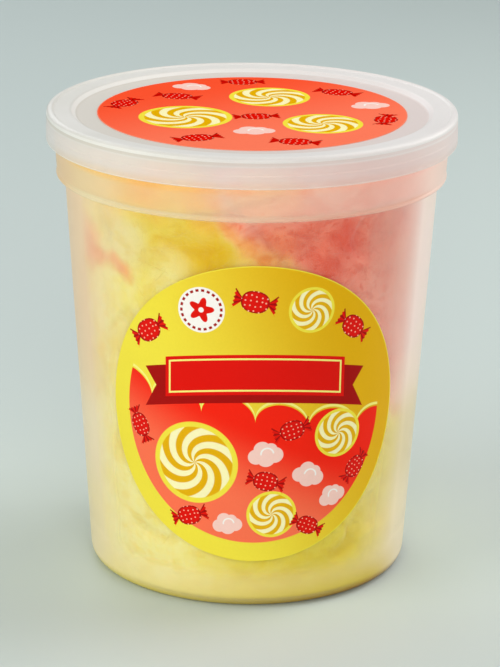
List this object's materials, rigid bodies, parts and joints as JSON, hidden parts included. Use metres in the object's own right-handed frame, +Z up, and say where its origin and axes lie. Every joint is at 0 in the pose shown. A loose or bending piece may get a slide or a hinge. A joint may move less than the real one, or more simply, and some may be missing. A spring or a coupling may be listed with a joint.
{
  "type": "tub of cotton candy",
  "caption": "Round translucent tub with a press-on lid, packed with yellow and pink cotton candy, with round labels on its wall and lid",
  "frame": {"origin": "Middle of the foot, on the surface that the tub stands on", "axes": "+Z up along the tub's axis, -Y out through the wall's label, +X to the right of it"},
  "size_m": [0.118, 0.118, 0.1353],
  "materials": {
    "tub_plastic": "satin translucent polypropylene, slightly milky",
    "lid_plastic": "satin milky polypropylene",
    "yellow_sugar": "matt spun sugar fibres, pale lemon yellow",
    "pink_sugar": "matt spun sugar fibres, salmon pink",
    "front_sticker": "satin printed sticker, coral field inside a yellow border",
    "lid_sticker": "satin printed sticker, coral with sweets"
  },
  "bodies": {
    "root": {"tub": "tub_plastic", "lid": "lid_plastic", "yellow_floss": "yellow_sugar", "pink_floss": "pink_sugar", "front_label": "front_sticker", "lid_label": "lid_sticker"}
  },
  "joints": []
}
